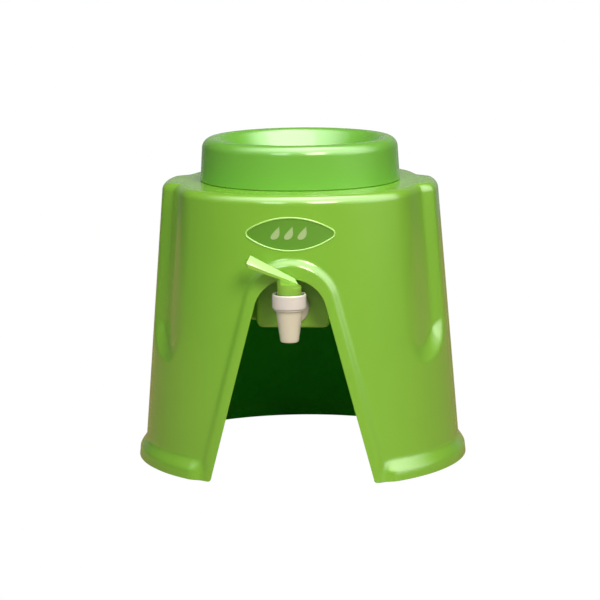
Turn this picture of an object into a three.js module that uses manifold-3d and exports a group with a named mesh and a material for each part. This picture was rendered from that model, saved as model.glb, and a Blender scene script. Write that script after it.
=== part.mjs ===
// Table-top water dispenser stand for a large inverted water bottle, in millimetres, +Z up.
// The origin is the centre of the base on the table, and the tap faces -Y.
import * as THREE from "three";
import { mergeVertices } from "three/addons/utils/BufferGeometryUtils.js";
import Module from "manifold-3d";

const wasm = await Module();
wasm.setup();

// ---- Driving dimensions ----
const gap = 0.3; // between pieces that touch
const slip = 0.1; // radial clearance of a round piece that turns or slides

// Stand: a tapered round shell with an arch in front and a deck on top
const hemRadius = 160;
const hemStep = 7.2; // how far the hem stands out from the tapered wall
const hemHeight = 19.3;
const hemLip = 4;
const shoulderRadius = 132.58; // tapered wall at the top of the shoulder
const shoulderHeight = 268.2;
const shoulderRound = 9;
const deckRise = 0.2; // from the shoulder up to the deck's level middle
const deckMargin = 1.7; // the deck is level this far outside the collar
const standWall = 3;

// Arch: a round top with straight sides that spread to the floor
const archRadius = 34.2;
const archBelowShoulder = 74.9; // to the top of the arch
const archSpread = 14.7; // degrees from upright
const frameWidth = 16.3; // the raised frame's outer radius less the arch's
const frameLift = 6.7; // the frame's centre above the arch's
const hemFade = 4; // degrees in which the hem ends beside the frame
const hemFadeInset = 0.78;
const frameProudTop = 4;
const frameProudFoot = 2;

// Grips: four hollows in the wall, from the shoulder down to a sloping ledge
const gripDepth = 8.5;
const gripStart = 46; // degrees from the front or the back
const gripFloor = 66;
const gripWall = 71;
const gripEnd = 79;
const gripLowest = 102.5;
const gripLedge = 16.5;

// Badge: a lens-shaped plate in a shallow pocket above the arch
const badgeBelowShoulder = 35.2; // to the badge's middle
const badgeHalfWidth = 41;
const badgeHalfHeight = 15;
const pocketDepth = 1.4;
const badgeThickness = 1;

// Collar: the raised ring that carries the bottle, with a funnel and a neck sleeve
const collarRadius = 96.3;
const collarTaper = 1.9;
const rimRound = 10.2;
const rimRise = 31.1; // the rim's centre above the deck
const collarWall = 3;
const skirtInset = 5.7; // the skirt is this much smaller than the collar
const skirtDrop = 2; // below the deck
const deckHoleClearance = 0.4;
const sleeveRadius = 31;
const sleeveDrop = 39.5; // from the rim's centre to the top of the sleeve
const sleeveLength = 24;

// Tank: the water bowl under the deck, with a flat box in front for the tap
const bossLength = 8.5; // screw bosses under the deck
const bossRadius = 5;
const screwMargin = 10.4; // from the skirt's radius out to the screws
const screwRadius = 1.6;
const screwHeadRadius = 3.5;
const screwLength = 11;
const flangeMargin = 6; // from the screws out to the flange's edge
const flangeThickness = 3;
const tankInset = 5.1; // the bowl's top is this much smaller than the skirt
const tankTaper = 6.5;
const tankFootRound = 6;
const tankWall = 2.5;
const boxHalfWidth = 35;
const boxFront = 103.7; // distance of the box's face in front of the stand's axis
const boxHeight = 74;
const boxCorner = 7;
const boxInBowl = 24; // the box runs this far into the bowl, and its hollow further
const boxHollowInBowl = 29;
const tapAboveTankFloor = 20.3;

// Tap: a barrel with a spout, held in the tank's box by a threaded shank and a nut
const ringBelowArch = 25.2; // from the arch's top to the ring's bottom
const barrelInset = 0.1; // the cup's back is this far behind the stand's face
const shankRadius = 8;
const shankShoulder = 2; // the neck is this much smaller
const waterwayRadius = 4.2;
const tapFlangeWidth = 7.5; // beyond the shank
const tapFlangeThickness = 3.4;
const gasketThickness = 1.9;
const gasketWidth = 5.5; // beyond the shank
const nutWidth = 8; // across flats, more than the shank's diameter
const nutThickness = 6.5;
const shankEnd = 5; // shank beyond the nut
const ringOverNeck = 0.8; // from the neck's top up to the ring's bottom
const spoutBottom = -31.6; // heights below are measured from the ring's bottom
const spoutEndRadius = 8.5;
const spoutBore = 6.8;
const seatHeight = -12.8;
const seatRadius = 4.6;
const barrelLip = -2;
const barrelThreadRadius = 12.9;
const spoutTopInset = 0.5; // these are less than the thread's radius
const bushFlangeInset = 2.3;
const barrelLipWidth = 1.3; // and these are more
const ringWidth = 2.8;
const ringHeight = 13;
const ringWall = 1.5;
const bushShoulder = 2.6; // the bush above its flange is this much smaller
const chamberInset = 1.6;
const bushFloor = 2.2;
const webFloor = 4.5;
const webTop = 6.3;
const bushTop = 8.9;

// Lever: a hollow cup with a paddle, on a pin in the turning bush
const leverTurn = 12; // degrees that the resting lever points forward of straight left
const cupOverBush = 3.1; // the cup's radius is more than the bush's
const cupWall = 1.6;
const cupBottom = 9.1;
const pinReach = 5; // from the barrel's axis towards the paddle
const pinHeight = 13.3;
const pinRadius = 1.25;
const pinClearance = 0.05;
const cheekInner = 2.2;
const cheekOuter = 4;
const stemRadius = 2.5;
const stemHeadRadius = 4.5;
const stemHeadHeight = 16.4;
const stemDiscHeight = -3.1;
const stemDiscThickness = 1.1;
const paddleHalfWidth = 6.5;
const paddleRidge = 0.35; // width of the paddle's top as a share of its bottom
const paddleSlope = 0.4; // rise of the paddle's underside per millimetre
const paddleRoot = 19.1; // height of the underside at the back of the cup
const paddleLength = 38.1;
const paddleSide = 4.3; // height of the paddle's upright sides

// ---- Sizes that follow ----
const smooth = THREE.MathUtils.smoothstep;
const radians = THREE.MathUtils.degToRad;
const bodyFoot = hemRadius - hemStep;
const deckHeight = shoulderHeight + deckRise;
const deckFlatRadius = collarRadius + deckMargin;
const draft = (bodyFoot - shoulderRadius) / (shoulderHeight - hemHeight);
const wallRadius = (z) => bodyFoot - draft * (z - hemHeight);
const spread = radians(archSpread);
const archTop = shoulderHeight - archBelowShoulder;
const archCentreHeight = archTop - archRadius;
const frameRadius = archRadius + frameWidth;
const frameCentreHeight = archCentreHeight + frameLift;
const frameSideHeight = frameCentreHeight + frameRadius * Math.sin(spread);
const frameFoot = frameRadius * Math.cos(spread) + frameSideHeight * Math.tan(spread);
const hemFadeEnd = THREE.MathUtils.radToDeg(Math.asin(frameFoot / bodyFoot)) - hemFadeInset;
const badgeHeight = shoulderHeight - badgeBelowShoulder;
const collarTopRadius = collarRadius - collarTaper;
const rimCentreHeight = deckHeight + rimRise;
const sleeveTop = rimCentreHeight - sleeveDrop;
const sleeveBottom = sleeveTop - sleeveLength;
const skirtRadius = collarRadius - skirtInset;
const deckHoleRadius = skirtRadius + deckHoleClearance;
const deckUnder = deckHeight - standWall;
const tankTop = deckUnder - gap - bossLength;
const screwCircle = skirtRadius + screwMargin;
const flangeRadius = screwCircle + flangeMargin;
const tankTopRadius = skirtRadius - tankInset;
const tankFootRadius = tankTopRadius - tankTaper;
const shankNeckRadius = shankRadius - shankShoulder;
const shankHeight = archTop - ringBelowArch - ringOverNeck - shankNeckRadius;
const tankFloor = shankHeight - tapAboveTankFloor;
const tapFlangeRadius = shankRadius + tapFlangeWidth;
const gasketRadius = shankRadius + gasketWidth;
const nutFlats = 2 * shankRadius + nutWidth;
const spoutTopRadius = barrelThreadRadius - spoutTopInset;
const barrelLipRadius = barrelThreadRadius + barrelLipWidth;
const ringRadius = barrelThreadRadius + ringWidth;
const bushFlangeRadius = barrelThreadRadius - bushFlangeInset;
const bushRadius = bushFlangeRadius - bushShoulder;
const chamberRadius = bushFlangeRadius - chamberInset;
const cupRadius = bushRadius + cupOverBush;
const barrelY = -(wallRadius(archTop) + cupRadius - barrelInset);
const barrelHeight = (h) => archTop - ringBelowArch + h;

// ---- Shared makers ----
function solid(geometry) {
  const bare = geometry.index ? geometry.toNonIndexed() : geometry.clone();
  bare.deleteAttribute("normal");
  bare.deleteAttribute("uv");
  const merged = mergeVertices(bare, 1e-3);
  const vertProperties = merged.attributes.position.array;
  const triVerts = new Uint32Array(merged.index.array);
  return new wasm.Manifold(new wasm.Mesh({ numProp: 3, vertProperties, triVerts }));
}

function geometryOf(body) {
  const mesh = body.getMesh();
  const geometry = new THREE.BufferGeometry();
  geometry.setAttribute("position", new THREE.BufferAttribute(mesh.vertProperties, 3));
  geometry.setIndex(new THREE.BufferAttribute(mesh.triVerts, 1));
  geometry.computeVertexNormals();
  return geometry;
}

// A profile of [radius, height] turned round Z. It runs up the outside and down the inside.
function turned(profile, segments) {
  const points = profile.map(([r, z]) => new THREE.Vector2(r, z));
  return new THREE.LatheGeometry(points, segments).rotateX(Math.PI / 2);
}

const ringOf = (profile) => [...profile, profile[0]];

function cylinder(radius, bottom, top, segments, x = 0, y = 0) {
  const shape = new THREE.CylinderGeometry(radius, radius, top - bottom, segments);
  return shape.rotateX(Math.PI / 2).translate(x, y, (bottom + top) / 2);
}

// A cylinder along Y, from one y to another.
function crossCylinder(radius, from, to, segments, x = 0, z = 0) {
  const shape = new THREE.CylinderGeometry(radius, radius, to - from, segments);
  return shape.translate(0, (from + to) / 2, 0).translate(x, 0, z);
}

function block(x0, x1, y0, y1, z0, z1) {
  const shape = new THREE.BoxGeometry(x1 - x0, y1 - y0, z1 - z0);
  return shape.translate((x0 + x1) / 2, (y0 + y1) / 2, (z0 + z1) / 2);
}

// An outline in X and Z, given a thickness from y0 to y1.
function plate(outline, y0, y1, curveSegments = 6) {
  const shape = new THREE.ExtrudeGeometry(outline, {
    depth: y1 - y0,
    bevelEnabled: false,
    curveSegments,
  });
  return shape.rotateX(Math.PI / 2).translate(0, y1, 0);
}

// Points on an arc of a [radius, height] profile, both ends included.
function arc(centreR, centreZ, radius, fromDegrees, toDegrees, steps) {
  const points = [];
  for (let i = 0; i <= steps; i += 1) {
    const angle = radians(fromDegrees + ((toDegrees - fromDegrees) * i) / steps);
    points.push([centreR + radius * Math.cos(angle), centreZ + radius * Math.sin(angle)]);
  }
  return points;
}

const green = { color: 0x82b446, roughness: 0.22, metalness: 0 };
const darkGreen = { color: 0x69a032, roughness: 0.3, metalness: 0 };
const white = { color: 0xded2c0, roughness: 0.3, metalness: 0 };
const silicone = { color: 0xe8e6de, roughness: 0.6, metalness: 0 };
const steel = { color: 0xb8babc, roughness: 0.3, metalness: 1 };

function part(name, geometry, finish) {
  const mesh = new THREE.Mesh(geometry, new THREE.MeshStandardMaterial(finish));
  mesh.name = name;
  return mesh;
}

// ---- Stand shell ----
function gripAt(azimuth, z) {
  const side = Math.abs(azimuth);
  const a = side > 90 ? 180 - side : side;
  const middle = 57;
  const spread = a < middle ? (middle - a) / 10 : (a - middle) / 22;
  const low = gripLowest + 29 * spread ** 2;
  const across = smooth(a, gripStart, gripFloor) * (1 - smooth(a, gripWall, gripEnd));
  return gripDepth * across * smooth(z, low, low + gripLedge);
}

// The hem's extra radius over the tapered wall, before it fades beside the arch.
function hemAt(z) {
  const edge = hemRadius - wallRadius(hemLip);
  if (z <= hemLip) return hemRadius - wallRadius(z);
  return edge * (1 - smooth(z, hemLip, hemHeight));
}

// Pushes each point of a round shell in at the grips, and drops the hem beside the arch.
function shapeWall(geometry) {
  const position = geometry.attributes.position;
  const edgeOfDeck = shoulderRadius - shoulderRound;
  for (let i = 0; i < position.count; i += 1) {
    const [x, y, z] = [position.getX(i), position.getY(i), position.getZ(i)];
    const r = Math.hypot(x, y);
    const azimuth = THREE.MathUtils.radToDeg(Math.atan2(x, -y));
    const hold = THREE.MathUtils.clamp((r - deckFlatRadius - 6) / (edgeOfDeck - deckFlatRadius - 6), 0, 1);
    const fade = 1 - smooth(Math.abs(azimuth), hemFadeEnd - hemFade, hemFadeEnd);
    const inward = gripAt(azimuth, z) * hold + hemAt(Math.min(z, hemHeight)) * fade;
    const scale = (r - inward) / r;
    position.setXY(i, x * scale, y * scale);
  }
  return geometry;
}

function standProfile() {
  const aboveLedge = [-42.5, -5.5, 3.5, 11.5, 19.5, 28.5, 39.5, 62.5, 102.5];
  const rows = aboveLedge.map((rise) => gripLowest + rise);
  const filletZ = shoulderHeight - shoulderRound;
  const filletR = wallRadius(filletZ) - shoulderRound;
  const outer = [0, hemLip, hemLip + 7.5, hemHeight, ...rows].map((z) => [wallRadius(z) + hemAt(Math.min(z, hemHeight)), z]);
  const inner = [filletZ - standWall, ...[...rows].reverse(), hemHeight, hemLip + 7.5, 0];
  return [
    ...outer,
    ...arc(filletR, filletZ, shoulderRound, 0, 90, 4),
    [deckFlatRadius, deckHeight],
    [deckHoleRadius, deckHeight],
    [deckHoleRadius, deckUnder],
    [deckFlatRadius, deckUnder],
    [filletR, shoulderHeight - standWall],
    ...inner.map((z) => [wallRadius(z) + hemAt(Math.min(z, hemHeight)) - standWall, z]),
  ];
}

// The arch's outline: a round top on straight sides that run below the floor.
function archOutline(radius, centreHeight) {
  const foot = -2;
  const cornerZ = centreHeight + radius * Math.sin(spread);
  const cornerX = radius * Math.cos(spread);
  const footX = cornerX + (cornerZ - foot) * Math.tan(spread);
  const outline = new THREE.Shape();
  outline.moveTo(-footX, foot);
  outline.lineTo(footX, foot);
  outline.lineTo(cornerX, cornerZ);
  outline.absarc(0, centreHeight, radius, spread, Math.PI - spread, false);
  outline.lineTo(-footX, foot);
  return outline;
}

function archFrame() {
  const proud = (z) => frameProudFoot + (frameProudTop - frameProudFoot) * Math.min(z / archCentreHeight, 1);
  const top = frameCentreHeight + frameRadius + 8;
  const rows = [0, hemHeight, archCentreHeight, top];
  const band = turned(
    ringOf([
      ...rows.map((z) => [wallRadius(z) + proud(z), z]),
      ...[top, 0].map((z) => [wallRadius(z) - standWall / 2, z]),
    ]),
    72,
  );
  const outline = plate(archOutline(frameRadius, frameCentreHeight), -hemRadius - 40, -hemRadius / 4, 18);
  return solid(band).intersect(solid(outline));
}

function lens(halfWidth, halfHeight, centreHeight) {
  const radius = (halfWidth ** 2 + halfHeight ** 2) / (2 * halfHeight);
  const half = Math.asin(halfWidth / radius);
  const outline = new THREE.Shape();
  const up = Math.PI / 2;
  outline.absarc(0, centreHeight - radius + halfHeight, radius, up - half, up + half, false);
  outline.absarc(0, centreHeight + radius - halfHeight, radius, -up - half, -up + half, false);
  return outline;
}

// A layer of the tapered wall behind the badge, between two depths below its surface.
function badgeLayer(halfWidth, halfHeight, deep, shallow) {
  const low = badgeHeight - badgeHalfHeight - 5;
  const high = badgeHeight + badgeHalfHeight + 5;
  const layer = turned(
    ringOf([
      [wallRadius(low) - shallow, low],
      [wallRadius(high) - shallow, high],
      [wallRadius(high) - deep, high],
      [wallRadius(low) - deep, low],
    ]),
    96,
  );
  const outline = plate(lens(halfWidth, halfHeight, badgeHeight), -hemRadius, -hemRadius / 2, 10);
  return solid(layer).intersect(solid(outline));
}

function screwPlaces() {
  return [45, 135, 225, 315].map((angle) => [
    screwCircle * Math.cos(radians(angle)),
    screwCircle * Math.sin(radians(angle)),
  ]);
}

function makeStand() {
  let body = solid(shapeWall(turned(ringOf(standProfile()), 72))).add(archFrame());
  body = body.subtract(solid(plate(archOutline(archRadius, archCentreHeight), -hemRadius - 40, -hemRadius / 4, 18)));
  body = body.subtract(badgeLayer(badgeHalfWidth + gap, badgeHalfHeight + gap, pocketDepth, -5));
  for (const [x, y] of screwPlaces()) {
    body = body.add(solid(cylinder(bossRadius, deckUnder - bossLength, deckUnder + 1, 16, x, y)));
    body = body.subtract(solid(cylinder(screwRadius + gap, 0, deckUnder - 1, 12, x, y)));
  }
  return part("stand_shell", geometryOf(body), green);
}

function makeBadge() {
  const deep = pocketDepth - gap;
  const body = badgeLayer(badgeHalfWidth, badgeHalfHeight, deep, deep - badgeThickness);
  return part("badge_plate", geometryOf(body), darkGreen);
}

// ---- Bottle collar ----
function makeCollar() {
  const rimR = collarTopRadius - rimRound;
  const innerRound = rimRound - collarWall;
  const foot = deckHeight + gap;
  const skirtInner = skirtRadius - collarWall + 0.2;
  const profile = [
    [collarRadius, foot],
    ...arc(rimR, rimCentreHeight, rimRound, 0, 135, 7),
    [sleeveRadius + 3, sleeveTop + 2.4],
    [sleeveRadius + 0.6, sleeveTop - 1],
    [sleeveRadius, sleeveBottom],
    [sleeveRadius + collarWall, sleeveBottom],
    [sleeveRadius + collarWall + 1.6, sleeveTop - 1.5],
    ...arc(rimR, rimCentreHeight, innerRound, 135, 0, 6),
    [collarRadius - collarWall - 0.8, foot + 6],
    [skirtInner, foot + 2],
    [skirtInner, deckUnder - skirtDrop],
    [skirtRadius, deckUnder - skirtDrop],
    [skirtRadius, foot],
  ];
  return part("bottle_collar", turned(ringOf(profile), 56), green);
}

// ---- Water tank and its screws ----
function boxOutline(inset) {
  const w = boxHalfWidth - inset;
  const r = boxCorner - inset / 2;
  const z0 = tankFloor + inset;
  const z1 = tankFloor + boxHeight - inset;
  const outline = new THREE.Shape();
  outline.absarc(w - r, z0 + r, r, -Math.PI / 2, 0, false);
  outline.absarc(w - r, z1 - r, r, 0, Math.PI / 2, false);
  outline.absarc(r - w, z1 - r, r, Math.PI / 2, Math.PI, false);
  outline.absarc(r - w, z0 + r, r, Math.PI, Math.PI * 1.5, false);
  return outline;
}

function makeTank() {
  const flangeZ = tankTop - flangeThickness;
  const bowlOuter = [
    [0, tankFloor],
    [tankFootRadius - tankFootRound, tankFloor],
    [tankFootRadius, tankFloor + tankFootRound],
    [tankTopRadius, flangeZ],
    [flangeRadius, flangeZ],
    [flangeRadius, tankTop],
    [0, tankTop],
  ];
  const bowlInner = [
    [0, tankFloor + tankWall],
    [tankFootRadius - tankFootRound - tankWall / 2, tankFloor + tankWall],
    [tankFootRadius - tankWall, tankFloor + tankFootRound + tankWall / 2],
    [tankTopRadius - tankWall, tankTop + 1],
    [0, tankTop + 1],
  ];
  let body = solid(turned(bowlOuter, 40)).add(solid(plate(boxOutline(0), -boxFront, boxInBowl - tankFootRadius, 4)));
  body = body.subtract(solid(turned(bowlInner, 40)));
  body = body.subtract(solid(plate(boxOutline(tankWall), -boxFront + tankWall, boxHollowInBowl - tankFootRadius, 4)));
  body = body.subtract(solid(crossCylinder(shankRadius + gap, -boxFront - 5, -boxFront + 10, 24, 0, shankHeight)));
  for (const [x, y] of screwPlaces()) {
    body = body.subtract(solid(cylinder(screwRadius + gap, flangeZ - 5, tankTop + 5, 12, x, y)));
  }
  return part("water_tank", geometryOf(body), green);
}

function makeScrew(index, x, y) {
  const seat = tankTop - flangeThickness - gap;
  const profile = [
    [0, seat - 2],
    [screwHeadRadius - 0.8, seat - 2],
    [screwHeadRadius, seat],
    [screwRadius, seat],
    [screwRadius, seat + screwLength - 3],
    [0, seat + screwLength - 1],
  ];
  const screw = part(`tank_screw_${index}`, turned(profile, 12), steel);
  screw.position.set(x, y, 0);
  return screw;
}

// ---- Tap, drawn about the barrel's axis ----
const boxFaceY = -boxFront - barrelY; // the tank's face, seen from the barrel's axis
const tapFlangeBack = boxFaceY - 2 * gap - gasketThickness;
const tapFlangeFace = tapFlangeBack - tapFlangeThickness;
const nutFace = boxFaceY + tankWall + 2 * gap + gasketThickness;

function makeTapBody() {
  const h = barrelHeight;
  const outer = [
    [0, h(spoutBottom)],
    [spoutEndRadius - 1.2, h(spoutBottom)],
    [spoutEndRadius, h(spoutBottom + 1.6)],
    [spoutTopRadius, h(barrelLip)],
    [barrelLipRadius, h(barrelLip)],
    [barrelLipRadius, h(-gap)],
    [barrelThreadRadius, h(-gap)],
    [barrelThreadRadius, h(webFloor - gap)],
    [0, h(webFloor - gap)],
  ];
  const inner = [
    [0, h(spoutBottom - 1)],
    [spoutBore, h(spoutBottom - 1)],
    [spoutBore, h(seatHeight - 2.5)],
    [seatRadius, h(seatHeight - 2.5)],
    [seatRadius, h(seatHeight)],
    [chamberRadius, h(seatHeight)],
    [chamberRadius, h(bushFloor - gap)],
    [bushFlangeRadius + gap, h(bushFloor - gap)],
    [bushFlangeRadius + gap, h(webFloor)],
    [0, h(webFloor)],
  ];
  const end = nutFace + nutThickness + shankEnd;
  let body = solid(turned(outer, 36));
  body = body.add(solid(crossCylinder(shankNeckRadius, 0, tapFlangeBack, 24, 0, shankHeight)));
  body = body.add(solid(crossCylinder(tapFlangeRadius, tapFlangeFace, tapFlangeBack, 32, 0, shankHeight)));
  body = body.add(solid(crossCylinder(shankRadius, tapFlangeFace, end, 24, 0, shankHeight)));
  body = body.subtract(solid(crossCylinder(waterwayRadius, 0, end + 1, 16, 0, shankHeight)));
  body = body.subtract(solid(turned(inner, 36)));
  return part("tap_body", geometryOf(body), white);
}

function makeRing() {
  const h = barrelHeight;
  const profile = [
    [barrelThreadRadius + gap, h(0)],
    [ringRadius, h(0)],
    [ringRadius, h(ringHeight - 0.9)],
    [ringRadius - 0.7, h(ringHeight)],
    [ringRadius - ringWall, h(ringHeight - 0.5)],
    [ringRadius - ringWall, h(webTop)],
    [bushRadius + gap, h(webTop)],
    [bushRadius + gap, h(webFloor)],
    [barrelThreadRadius + gap, h(webFloor)],
  ];
  return part("tap_ring", turned(ringOf(profile), 36), white);
}

function shankWasher(name, face, finish) {
  const outer = solid(crossCylinder(gasketRadius, face, face + gasketThickness, 24, 0, shankHeight));
  const hole = solid(crossCylinder(shankRadius + gap, face - 1, face + gasketThickness + 1, 24, 0, shankHeight));
  return part(name, geometryOf(outer.subtract(hole)), finish);
}

function makeNut() {
  const cornerRadius = nutFlats / 2 / Math.cos(Math.PI / 6);
  const hexagon = solid(crossCylinder(cornerRadius, nutFace, nutFace + nutThickness, 6, 0, shankHeight));
  const hole = solid(crossCylinder(shankRadius + gap, nutFace - 1, nutFace + nutThickness + 1, 24, 0, shankHeight));
  return part("shank_nut", geometryOf(hexagon.subtract(hole)), white);
}

// ---- Lever and valve, drawn with the paddle towards -X ----
function makeBush() {
  const h = barrelHeight;
  const bore = stemRadius + slip;
  const body = turned(
    ringOf([
      [bore, h(bushFloor)],
      [bushFlangeRadius, h(bushFloor)],
      [bushFlangeRadius, h(webFloor - gap)],
      [bushRadius, h(webFloor - gap)],
      [bushRadius, h(bushTop)],
      [bore, h(bushTop)],
    ]),
    28,
  );
  let bush = solid(body);
  const cheekEnd = pinReach + 2;
  for (const side of [-1, 1]) {
    const [y0, y1] = side < 0 ? [-cheekOuter, -cheekInner] : [cheekInner, cheekOuter];
    const cheek = block(-cheekEnd, -stemRadius - 0.3, y0, y1, h(bushTop - 1), h(pinHeight + 2.4));
    bush = bush.add(solid(cheek));
  }
  const hole = crossCylinder(pinRadius + pinClearance, -10, 10, 16, -pinReach, h(pinHeight));
  return part("lever_bush", geometryOf(bush.subtract(solid(hole))), white);
}

function makePin() {
  const half = cheekOuter - 0.1;
  const shape = crossCylinder(pinRadius, -half, half, 16, -pinReach, barrelHeight(pinHeight));
  return part("lever_pin", shape, steel);
}

// Everything below a plane that rises towards the paddle, as wide as the cup.
function underSlope(lift) {
  const reach = 3 * cupRadius;
  const height = (s) => barrelHeight(paddleRoot + lift + (s + cupRadius) * paddleSlope);
  const outline = new THREE.Shape();
  outline.moveTo(-reach, barrelHeight(0));
  outline.lineTo(reach, barrelHeight(0));
  outline.lineTo(reach, height(-reach));
  outline.lineTo(-reach, height(reach));
  outline.closePath();
  return solid(plate(outline, -reach, reach));
}

function makePaddle() {
  const h = barrelHeight;
  const tip = paddleRoot + (paddleLength + cupRadius) * paddleSlope;
  const outline = new THREE.Shape();
  outline.moveTo(cupRadius - 3.2, h(paddleRoot + 1));
  outline.lineTo(cupRadius - 3.2, h(paddleRoot + 3.2));
  outline.lineTo(cupRadius - 5.5, h(paddleRoot + paddleSide + 3.6));
  outline.lineTo(2.8 - paddleLength, h(tip + paddleSide + 6.6));
  outline.lineTo(-paddleLength - 1.7, h(tip + paddleSide));
  outline.lineTo(-paddleLength, h(tip));
  outline.closePath();
  const shape = plate(outline, -paddleHalfWidth, paddleHalfWidth);
  const position = shape.attributes.position;
  for (let i = 0; i < position.count; i += 1) {
    const side = h(paddleRoot + paddleSide + 0.7 + (cupRadius - position.getX(i)) * paddleSlope);
    if (position.getZ(i) > side) position.setY(i, position.getY(i) * paddleRidge);
    else if (position.getX(i) > 0) position.setY(i, position.getY(i) * 0.7); // clears the arch's frame
  }
  return solid(shape);
}

function makeLever() {
  const h = barrelHeight;
  const high = h(paddleRoot + 2 * cupRadius);
  const inside = cupRadius - cupWall;
  const cup = solid(cylinder(cupRadius, h(cupBottom), high, 32)).intersect(underSlope(1));
  const flatTop = solid(block(-20, 20, -paddleHalfWidth - 0.4, paddleHalfWidth + 0.4, h(0), high));
  const cap = solid(block(-20, 20, -20, 20, h(0), h(paddleRoot + 3.2)));
  const hollow = solid(cylinder(inside, h(0), high, 32)).intersect(underSlope(-1.4));
  const hollowCap = solid(block(-20, 20, -20, 20, h(0), h(paddleRoot + 1.4)));
  const hollowCore = solid(block(-20, 20, 0.8 - paddleHalfWidth, paddleHalfWidth - 0.8, h(0), high));
  let body = cup.intersect(flatTop.add(cap)).subtract(hollow.intersect(hollowCap.add(hollowCore)));
  body = body.add(makePaddle().subtract(underSlope(0.5).intersect(solid(cylinder(inside - 1, h(0), high, 24)))));
  const ribHalf = cheekInner - gap;
  const rib = block(-pinReach - 2.9, -pinReach - 0.2, -ribHalf, ribHalf, h(pinHeight - 1.5), high);
  body = body.add(solid(rib).intersect(underSlope(0.6)));
  body = body.add(solid(crossCylinder(2.3, -ribHalf, ribHalf, 16, -pinReach, h(pinHeight))));
  body = body.subtract(solid(crossCylinder(pinRadius + slip, -5, 5, 16, -pinReach, h(pinHeight))));
  const lugIn = stemRadius + 1;
  for (const side of [-1, 1]) {
    const [y0, y1] = side < 0 ? [-inside - 0.4, -lugIn] : [lugIn, inside + 0.4];
    body = body.add(solid(block(-1.2, 1.4, y0, y1, h(stemHeadHeight - 2.5), h(stemHeadHeight - gap))));
  }
  return part("tap_lever", geometryOf(body), green);
}

function makeStem() {
  const h = barrelHeight;
  const profile = [
    [0, h(seatHeight + 2.4)],
    [stemRadius, h(seatHeight + 2.4)],
    [stemRadius, h(stemDiscHeight - stemDiscThickness)],
    [4.3, h(stemDiscHeight - stemDiscThickness)],
    [4.3, h(stemDiscHeight)],
    [stemRadius, h(stemDiscHeight)],
    [stemRadius, h(stemHeadHeight)],
    [stemHeadRadius, h(stemHeadHeight)],
    [stemHeadRadius, h(stemHeadHeight + 1.4)],
    [0, h(stemHeadHeight + 1.8)],
  ];
  return part("valve_stem", turned(profile, 20), white);
}

function makeValveCup() {
  const h = barrelHeight;
  const profile = [
    [0, h(seatHeight + gap)],
    [6.6, h(seatHeight + gap)],
    [6.6, h(seatHeight + 3)],
    [4.6, h(seatHeight + 4)],
    [4.6, h(stemDiscHeight - 1.7)],
    [stemRadius + gap, h(stemDiscHeight - 1.7)],
    [stemRadius + gap, h(seatHeight + 2.1)],
    [0, h(seatHeight + 2.1)],
  ];
  return part("valve_cup", turned(profile, 20), silicone);
}

function makeSpring() {
  const wire = 0.4;
  const coil = 3.8;
  const turns = 4;
  const low = barrelHeight(stemDiscHeight) + wire + 0.2;
  const high = barrelHeight(bushFloor) - wire - 0.2;
  const steps = 10 * turns;
  const points = [];
  for (let i = 0; i <= steps; i += 1) {
    const angle = (2 * Math.PI * turns * i) / steps;
    const z = low + ((high - low) * i) / steps;
    points.push(new THREE.Vector3(coil * Math.cos(angle), coil * Math.sin(angle), z));
  }
  const section = new THREE.Shape();
  section.absarc(0, 0, wire, 0, 2 * Math.PI, false);
  const path = new THREE.CatmullRomCurve3(points);
  const shape = new THREE.ExtrudeGeometry(section, { steps, extrudePath: path, curveSegments: 3 });
  return part("stem_spring", shape, steel);
}

// ---- The whole object ----
const dispenser = new THREE.Group();
dispenser.add(makeStand(), makeBadge(), makeCollar(), makeTank());
screwPlaces().forEach(([x, y], i) => dispenser.add(makeScrew(i + 1, x, y)));

const tap = new THREE.Group();
tap.position.set(0, barrelY, 0);
tap.add(makeTapBody(), makeRing(), makeNut());
tap.add(shankWasher("outer_gasket", boxFaceY - gap - gasketThickness, silicone));
tap.add(shankWasher("inner_gasket", boxFaceY + tankWall + gap, silicone));

const valve = new THREE.Group();
valve.rotation.z = radians(leverTurn);
valve.add(makeBush(), makePin(), makeLever(), makeStem(), makeValveCup(), makeSpring());
tap.add(valve);
dispenser.add(tap);

export default dispenser;
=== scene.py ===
import math
import bmesh
import bpy
from mathutils import Matrix, Vector


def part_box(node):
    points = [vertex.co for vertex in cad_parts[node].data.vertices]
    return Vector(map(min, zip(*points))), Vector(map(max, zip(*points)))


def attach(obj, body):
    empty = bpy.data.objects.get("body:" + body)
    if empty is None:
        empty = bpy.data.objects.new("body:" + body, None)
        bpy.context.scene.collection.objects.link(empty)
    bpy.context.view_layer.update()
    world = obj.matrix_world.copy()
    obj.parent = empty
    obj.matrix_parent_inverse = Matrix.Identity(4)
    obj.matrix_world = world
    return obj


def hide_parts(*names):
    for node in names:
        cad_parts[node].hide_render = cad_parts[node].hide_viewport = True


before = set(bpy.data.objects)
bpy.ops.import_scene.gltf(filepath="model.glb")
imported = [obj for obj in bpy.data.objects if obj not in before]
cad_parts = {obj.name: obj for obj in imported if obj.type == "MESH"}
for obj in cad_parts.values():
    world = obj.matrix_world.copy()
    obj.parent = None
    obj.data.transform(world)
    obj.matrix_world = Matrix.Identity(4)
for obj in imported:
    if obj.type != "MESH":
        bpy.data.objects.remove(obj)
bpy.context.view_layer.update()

# ---- Camera, floor and light ----
# A long lens a little above table height, and a shade to the right of the stand's middle.
# The stand is on a white table in front of a white wall, and soft boxes light it from the
# front right, the front left and overhead.
mm = 0.001
table_half = 1.9


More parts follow.
